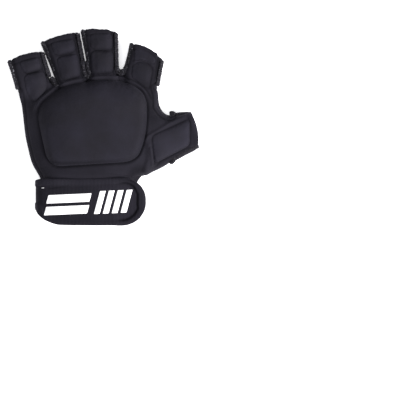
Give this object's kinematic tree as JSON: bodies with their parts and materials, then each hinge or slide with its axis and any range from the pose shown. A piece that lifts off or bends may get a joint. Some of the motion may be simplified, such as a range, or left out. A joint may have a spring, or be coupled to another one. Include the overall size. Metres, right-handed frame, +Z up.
{
  "type": "field hockey glove",
  "caption": "Left-hand half-finger field hockey glove with an open palm, foam pads over the back of the hand and a wrap-round wrist strap, lying palm down.",
  "frame": {"origin": "on the surface it lies on, under the middle of its bounding box", "axes": "+Z up out of the back of the hand, +Y towards the fingertips, +X towards the thumb"},
  "size_m": [0.1658, 0.1722, 0.0294],
  "materials": {
    "panel_knit": "stretch knit laminated to foam, matt",
    "pad_knit": "stretch knit moulded over foam, soft sheen",
    "lining": "brushed knit lining, matt",
    "grip_cloth": "printed grip cloth, matt with a silver-grey hexagon print",
    "binding": "elastic binding, ribbed",
    "thread": "overlock thread",
    "strap_band": "brushed loop fabric on foam",
    "strap_print": "raised white heat-pressed print",
    "hook_tape": "nylon hook tape"
  },
  "bodies": {
    "root": {"back_panel": "panel_knit", "hand_pad": "pad_knit", "thumb_pad": "pad_knit", "little_near_pad": "pad_knit", "little_far_pad": "pad_knit", "little_sleeve": "grip_cloth", "ring_near_pad": "pad_knit", "ring_far_pad": "pad_knit", "ring_sleeve": "grip_cloth", "middle_near_pad": "pad_knit", "middle_far_pad": "pad_knit", "middle_sleeve": "grip_cloth", "index_near_pad": "pad_knit", "index_far_pad": "pad_knit", "index_sleeve": "grip_cloth", "thumb_sleeve": "panel_knit", "wrist_strap": "strap_band", "hook_patch": "hook_tape"}
  },
  "joints": []
}
